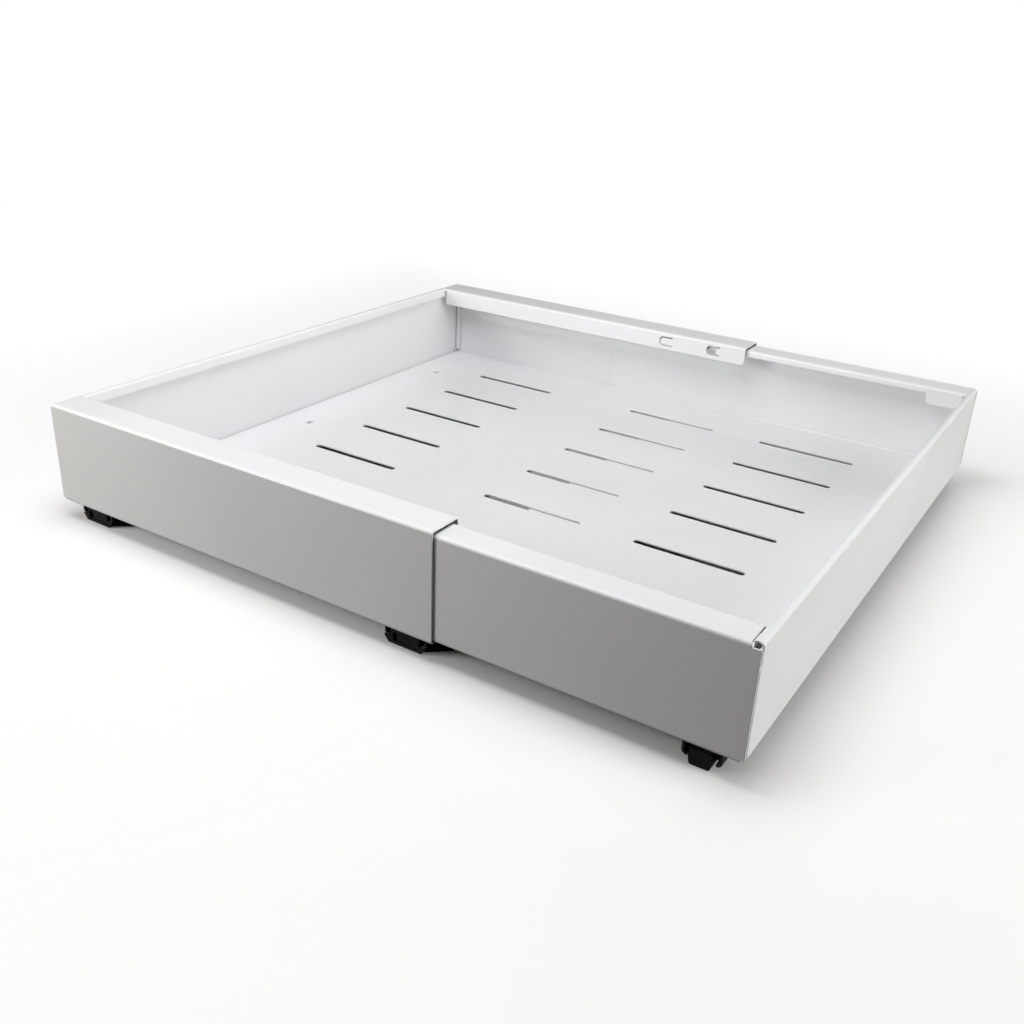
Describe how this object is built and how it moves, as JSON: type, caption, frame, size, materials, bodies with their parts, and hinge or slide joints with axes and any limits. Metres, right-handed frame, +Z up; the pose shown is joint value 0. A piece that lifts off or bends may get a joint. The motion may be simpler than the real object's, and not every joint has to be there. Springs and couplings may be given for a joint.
{
  "type": "adjustable pull-out tray drawer",
  "caption": "Shallow slotted tray drawer of two nested folded-sheet halves that adjust its width, riding on flat ball-bearing slides with screw-down feet.",
  "frame": {"origin": "under the middle of the tray, on the plane its feet stand on", "axes": "+X along the front wall towards the inner half, +Y from the front wall to the back wall, +Z up"},
  "size_m": [0.471, 0.439, 0.0785],
  "materials": {
    "white_coat": "satin white powder coat, fine texture",
    "black_steel": "black electro-coated steel",
    "cage_steel": "plain steel strip",
    "ball_steel": "polished steel balls",
    "foot_plastic": "dark moulded plastic, fine grain",
    "pad_rubber": "closed-cell foam pad",
    "stop_rubber": "moulded rubber",
    "zinc_steel": "bright zinc-plated steel",
    "screw_steel": "dark zinc-plated steel"
  },
  "bodies": {
    "wide_slide_bases": {"left_lower_rail": "black_steel", "left_front_foot": "foot_plastic", "left_rear_foot": "foot_plastic", "left_front_pad": "pad_rubber", "left_rear_pad": "pad_rubber", "left_end_stop": "stop_rubber", "left_foot_screws": "screw_steel", "middle_lower_rail": "black_steel", "middle_front_foot": "foot_plastic", "middle_rear_foot": "foot_plastic", "middle_front_pad": "pad_rubber", "middle_rear_pad": "pad_rubber", "middle_end_stop": "stop_rubber", "middle_foot_screws": "screw_steel"},
    "drawer": {"outer_tray": "white_coat", "left_upper_rail": "black_steel", "left_tray_screws": "zinc_steel", "middle_upper_rail": "black_steel", "middle_tray_screws": "zinc_steel"},
    "left_cage": {"left_ball_cage": "cage_steel", "left_balls": "ball_steel"},
    "middle_cage": {"middle_ball_cage": "cage_steel", "middle_balls": "ball_steel"},
    "slim_slide_base": {"right_lower_rail": "black_steel", "right_front_foot": "foot_plastic", "right_rear_foot": "foot_plastic", "right_front_pad": "pad_rubber", "right_rear_pad": "pad_rubber", "right_end_stop": "stop_rubber", "right_foot_screws": "screw_steel"},
    "slim_cage": {"right_ball_cage": "cage_steel", "right_balls": "ball_steel"},
    "extension": {"inner_tray": "white_coat", "right_upper_rail": "black_steel", "right_tray_screws": "zinc_steel"}
  },
  "joints": [
    {"name": "drawer_slide", "type": "slide", "parent": "wide_slide_bases", "child": "drawer", "axis": [0, -1, 0], "range_m": [0, 0.3]},
    {"name": "left_cage_slide", "type": "slide", "parent": "wide_slide_bases", "child": "left_cage", "axis": [0, -1, 0], "range_m": [0, 0.15]},
    {"name": "middle_cage_slide", "type": "slide", "parent": "wide_slide_bases", "child": "middle_cage", "axis": [0, -1, 0], "range_m": [0, 0.15]},
    {"name": "width_slide", "type": "slide", "parent": "wide_slide_bases", "child": "slim_slide_base", "axis": [1, 0, 0], "range_m": [-0.132, 0.09]},
    {"name": "slim_cage_slide", "type": "slide", "parent": "slim_slide_base", "child": "slim_cage", "axis": [0, -1, 0], "range_m": [0, 0.15]},
    {"name": "extension_slide", "type": "slide", "parent": "slim_slide_base", "child": "extension", "axis": [0, -1, 0], "range_m": [0, 0.3]}
  ],
  "couplings": [
    {"joint": "left_cage_slide", "follows": "drawer_slide", "ratio": 0.5},
    {"joint": "middle_cage_slide", "follows": "drawer_slide", "ratio": 0.5},
    {"joint": "slim_cage_slide", "follows": "drawer_slide", "ratio": 0.5},
    {"joint": "extension_slide", "follows": "drawer_slide", "ratio": 1}
  ]
}
